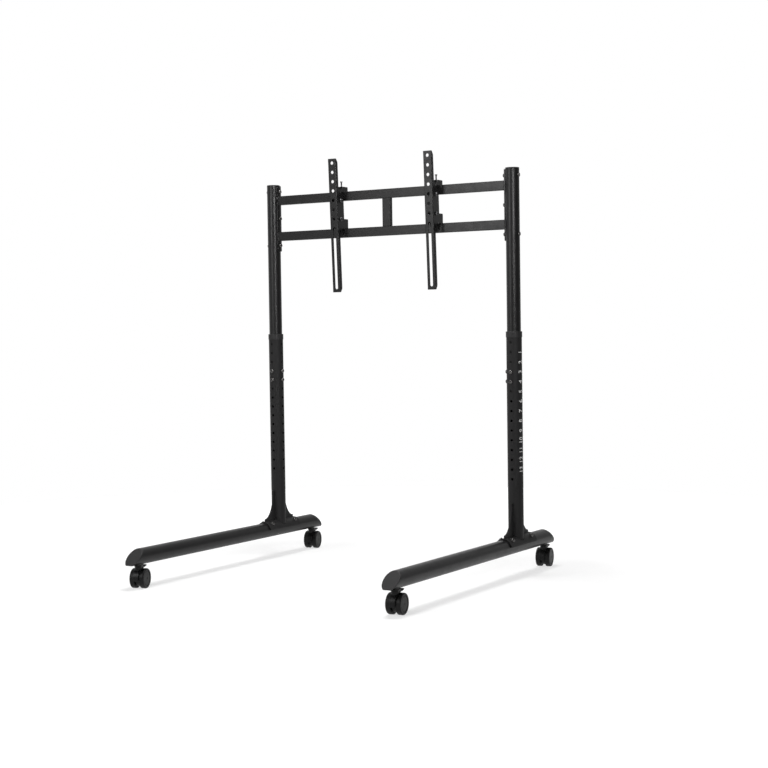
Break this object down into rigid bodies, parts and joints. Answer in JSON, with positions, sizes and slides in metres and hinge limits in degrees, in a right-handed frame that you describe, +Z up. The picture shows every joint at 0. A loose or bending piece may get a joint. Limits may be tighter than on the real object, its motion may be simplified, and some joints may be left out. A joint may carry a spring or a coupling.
{
  "type": "freestanding monitor stand",
  "caption": "Rolling floor stand for a large monitor: casters under long legs, telescoping round posts, a twin-bar crossbar and slotted mounting arms that slide and tilt.",
  "frame": {"origin": "on the floor, midway between the legs and midway along them; the resting casters are turned a little, which puts the bounding box's middle 3 mm from it", "axes": "+Z up, +X to the stand's right as seen from behind the camera in front of the screen, -Y the way the screen faces"},
  "size_m": [0.963, 1.0031, 1.3211],
  "materials": {
    "black_powder_coat": "satin black powder coat with a fine grain",
    "black_plastic": "moulded satin",
    "caster_plastic": "moulded semi-gloss",
    "caster_tread": "smooth hard tread",
    "zinc_fastener": "darkened zinc"
  },
  "bodies": {
    "base": {"left_leg_tube": "black_powder_coat", "left_lower_post": "black_powder_coat", "left_sleeve_collar": "black_plastic", "left_front_leg_cap": "black_plastic", "left_rear_leg_cap": "black_plastic", "left_front_saddle_bolts": "zinc_fastener", "left_rear_saddle_bolts": "zinc_fastener", "left_front_caster_stem": "zinc_fastener", "left_rear_caster_stem": "zinc_fastener", "right_leg_tube": "black_powder_coat", "right_lower_post": "black_powder_coat", "right_sleeve_collar": "black_plastic", "right_front_leg_cap": "black_plastic", "right_rear_leg_cap": "black_plastic", "right_front_saddle_bolts": "zinc_fastener", "right_rear_saddle_bolts": "zinc_fastener", "right_front_caster_stem": "zinc_fastener", "right_rear_caster_stem": "zinc_fastener"},
    "upper_frame": {"crossbar_frame": "black_powder_coat", "crossbar_strut": "black_powder_coat", "left_upper_post": "black_powder_coat", "left_post_cap": "black_plastic", "left_top_crossbar_bolt": "zinc_fastener", "left_middle_crossbar_bolt": "zinc_fastener", "left_bottom_crossbar_bolt": "zinc_fastener", "left_front_height_bolts": "zinc_fastener", "left_inner_height_bolts": "zinc_fastener", "right_upper_post": "black_powder_coat", "right_post_cap": "black_plastic", "right_top_crossbar_bolt": "zinc_fastener", "right_middle_crossbar_bolt": "zinc_fastener", "right_bottom_crossbar_bolt": "zinc_fastener", "right_front_height_bolts": "zinc_fastener", "right_inner_height_bolts": "zinc_fastener"},
    "left_arm": {"left_hook_bracket": "black_powder_coat", "left_pivot_bolt": "zinc_fastener", "left_tilt_bolt": "zinc_fastener"},
    "left_rail": {"left_arm_rail": "black_powder_coat"},
    "left_lock": {"left_lock_screw": "zinc_fastener"},
    "right_arm": {"right_hook_bracket": "black_powder_coat", "right_pivot_bolt": "zinc_fastener", "right_tilt_bolt": "zinc_fastener"},
    "right_rail": {"right_arm_rail": "black_powder_coat"},
    "right_lock": {"right_lock_screw": "zinc_fastener"},
    "left_front_caster": {"left_front_caster_housing": "caster_plastic"},
    "left_front_left_roller": {"left_front_left_wheel": "caster_tread"},
    "left_front_right_roller": {"left_front_right_wheel": "caster_tread"},
    "left_front_brake": {"left_front_brake_pedal": "caster_plastic"},
    "left_rear_caster": {"left_rear_caster_housing": "caster_plastic"},
    "left_rear_left_roller": {"left_rear_left_wheel": "caster_tread"},
    "left_rear_right_roller": {"left_rear_right_wheel": "caster_tread"},
    "left_rear_brake": {"left_rear_brake_pedal": "caster_plastic"},
    "right_front_caster": {"right_front_caster_housing": "caster_plastic"},
    "right_front_left_roller": {"right_front_left_wheel": "caster_tread"},
    "right_front_right_roller": {"right_front_right_wheel": "caster_tread"},
    "right_front_brake": {"right_front_brake_pedal": "caster_plastic"},
    "right_rear_caster": {"right_rear_caster_housing": "caster_plastic"},
    "right_rear_left_roller": {"right_rear_left_wheel": "caster_tread"},
    "right_rear_right_roller": {"right_rear_right_wheel": "caster_tread"},
    "right_rear_brake": {"right_rear_brake_pedal": "caster_plastic"}
  },
  "joints": [
    {"name": "height_slide", "type": "slide", "parent": "base", "child": "upper_frame", "axis": [0, 0, 1], "range_m": [-0.27, 0.09]},
    {"name": "left_arm_slide", "type": "slide", "parent": "upper_frame", "child": "left_arm", "axis": [1, 0, 0], "range_m": [-0.2245, 0.1355]},
    {"name": "left_arm_tilt", "type": "hinge", "parent": "left_arm", "child": "left_rail", "pos_m": [-0.1755, 0.237, 1.186], "axis": [1, 0, 0], "range_deg": [-2.5, 7.5]},
    {"name": "left_lock_travel", "type": "slide", "parent": "left_arm", "child": "left_lock", "axis": [0, 0, 1], "range_m": [0, 0.012]},
    {"name": "right_arm_slide", "type": "slide", "parent": "upper_frame", "child": "right_arm", "axis": [1, 0, 0], "range_m": [-0.142, 0.218]},
    {"name": "right_arm_tilt", "type": "hinge", "parent": "right_arm", "child": "right_rail", "pos_m": [0.182, 0.237, 1.186], "axis": [1, 0, 0], "range_deg": [-2.5, 7.5]},
    {"name": "right_lock_travel", "type": "slide", "parent": "right_arm", "child": "right_lock", "axis": [0, 0, 1], "range_m": [0, 0.012]},
    {"name": "left_front_swivel", "type": "hinge", "parent": "base", "child": "left_front_caster", "pos_m": [-0.45, -0.457, 0.06], "axis": [0, 0, 1], "continuous": true},
    {"name": "left_front_left_roll", "type": "hinge", "parent": "left_front_caster", "child": "left_front_left_roller", "pos_m": [-0.45365, -0.44505, 0.03], "axis": [0.9563, 0.2924, 0], "continuous": true},
    {"name": "left_front_right_roll", "type": "hinge", "parent": "left_front_caster", "child": "left_front_right_roller", "pos_m": [-0.45365, -0.44505, 0.03], "axis": [0.9563, 0.2924, 0], "continuous": true},
    {"name": "left_front_brake_press", "type": "hinge", "parent": "left_front_caster", "child": "left_front_brake", "pos_m": [-0.45512, -0.44027, 0.0625], "axis": [0.9563, 0.2924, 0], "range_deg": [-20, 0]},
    {"name": "left_rear_swivel", "type": "hinge", "parent": "base", "child": "left_rear_caster", "pos_m": [-0.45, 0.457, 0.06], "axis": [0, 0, 1], "continuous": true},
    {"name": "left_rear_left_roll", "type": "hinge", "parent": "left_rear_caster", "child": "left_rear_left_roller", "pos_m": [-0.45281, 0.46918, 0.03], "axis": [0.9744, 0.225, 0], "continuous": true},
    {"name": "left_rear_right_roll", "type": "hinge", "parent": "left_rear_caster", "child": "left_rear_right_roller", "pos_m": [-0.45281, 0.46918, 0.03], "axis": [0.9744, 0.225, 0], "continuous": true},
    {"name": "left_rear_brake_press", "type": "hinge", "parent": "left_rear_caster", "child": "left_rear_brake", "pos_m": [-0.45394, 0.47405, 0.0625], "axis": [0.9744, 0.225, 0], "range_deg": [-20, 0]},
    {"name": "right_front_swivel", "type": "hinge", "parent": "base", "child": "right_front_caster", "pos_m": [0.45, -0.457, 0.06], "axis": [0, 0, 1], "continuous": true},
    {"name": "right_front_left_roll", "type": "hinge", "parent": "right_front_caster", "child": "right_front_left_roller", "pos_m": [0.44848, -0.44459, 0.03], "axis": [0.9925, 0.1219, 0], "continuous": true},
    {"name": "right_front_right_roll", "type": "hinge", "parent": "right_front_caster", "child": "right_front_right_roller", "pos_m": [0.44848, -0.44459, 0.03], "axis": [0.9925, 0.1219, 0], "continuous": true},
    {"name": "right_front_brake_press", "type": "hinge", "parent": "right_front_caster", "child": "right_front_brake", "pos_m": [0.44787, -0.43963, 0.0625], "axis": [0.9925, 0.1219, 0], "range_deg": [-20, 0]},
    {"name": "right_rear_swivel", "type": "hinge", "parent": "base", "child": "right_rear_caster", "pos_m": [0.45, 0.457, 0.06], "axis": [0, 0, 1], "continuous": true},
    {"name": "right_rear_left_roll", "type": "hinge", "parent": "right_rear_caster", "child": "right_rear_left_roller", "pos_m": [0.44783, 0.46931, 0.03], "axis": [0.9848, 0.1736, 0], "continuous": true},
    {"name": "right_rear_right_roll", "type": "hinge", "parent": "right_rear_caster", "child": "right_rear_right_roller", "pos_m": [0.44783, 0.46931, 0.03], "axis": [0.9848, 0.1736, 0], "continuous": true},
    {"name": "right_rear_brake_press", "type": "hinge", "parent": "right_rear_caster", "child": "right_rear_brake", "pos_m": [0.44696, 0.47423, 0.0625], "axis": [0.9848, 0.1736, 0], "range_deg": [-20, 0]}
  ]
}
